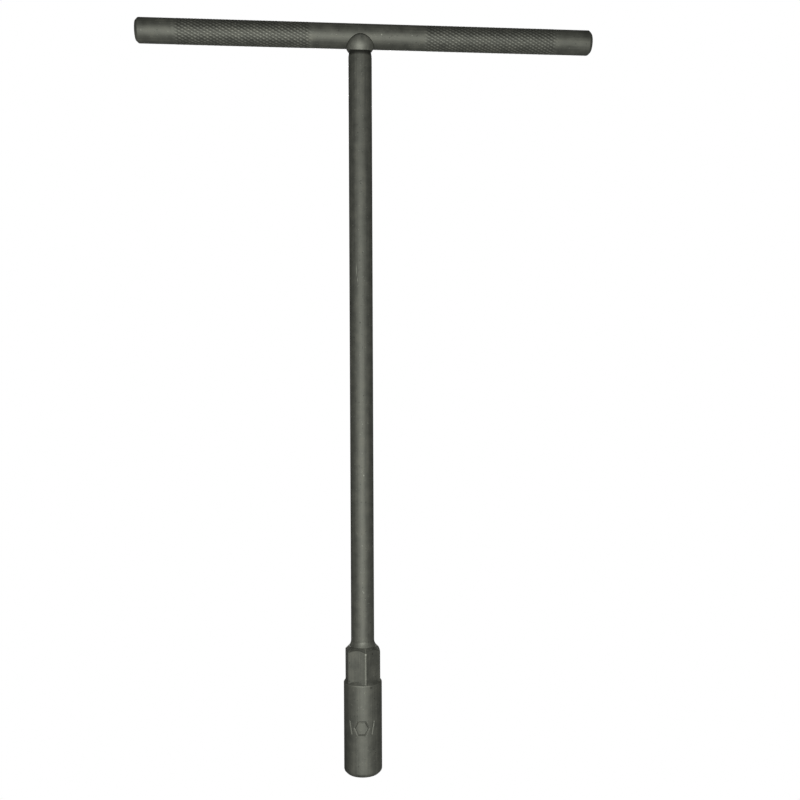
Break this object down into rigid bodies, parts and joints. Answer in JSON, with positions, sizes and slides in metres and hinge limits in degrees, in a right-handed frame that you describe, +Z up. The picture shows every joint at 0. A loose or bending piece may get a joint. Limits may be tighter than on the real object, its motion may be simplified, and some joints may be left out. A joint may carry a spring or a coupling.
{
  "type": "t-handle socket wrench",
  "caption": "Steel T-handle socket wrench with a knurled fixed cross bar, a long round shaft, and a deep socket with a spanner hexagon at its top.",
  "frame": {"origin": "centre of the socket's mouth face, on the shaft's axis", "axes": "+Z up the shaft from the socket to the cross bar, +X along the cross bar towards its longer arm, Y across the bar; two corners of the spanner hexagon point within 6.5 degrees of +Y and -Y"},
  "size_m": [0.195, 0.0164, 0.3226],
  "materials": {
    "bar_steel": "dark grey phosphate coat, knurled in two zones",
    "saddle_steel": "dark grey phosphate coat",
    "shaft_steel": "dark grey phosphate coat, satin",
    "weld_steel": "thinly coated weld metal, a little brighter",
    "socket_steel": "dark grey phosphate coat, satin"
  },
  "bodies": {
    "root": {"cross_bar": "bar_steel", "bar_saddle": "saddle_steel", "shaft": "shaft_steel", "socket_weld": "weld_steel", "socket": "socket_steel"}
  },
  "joints": []
}
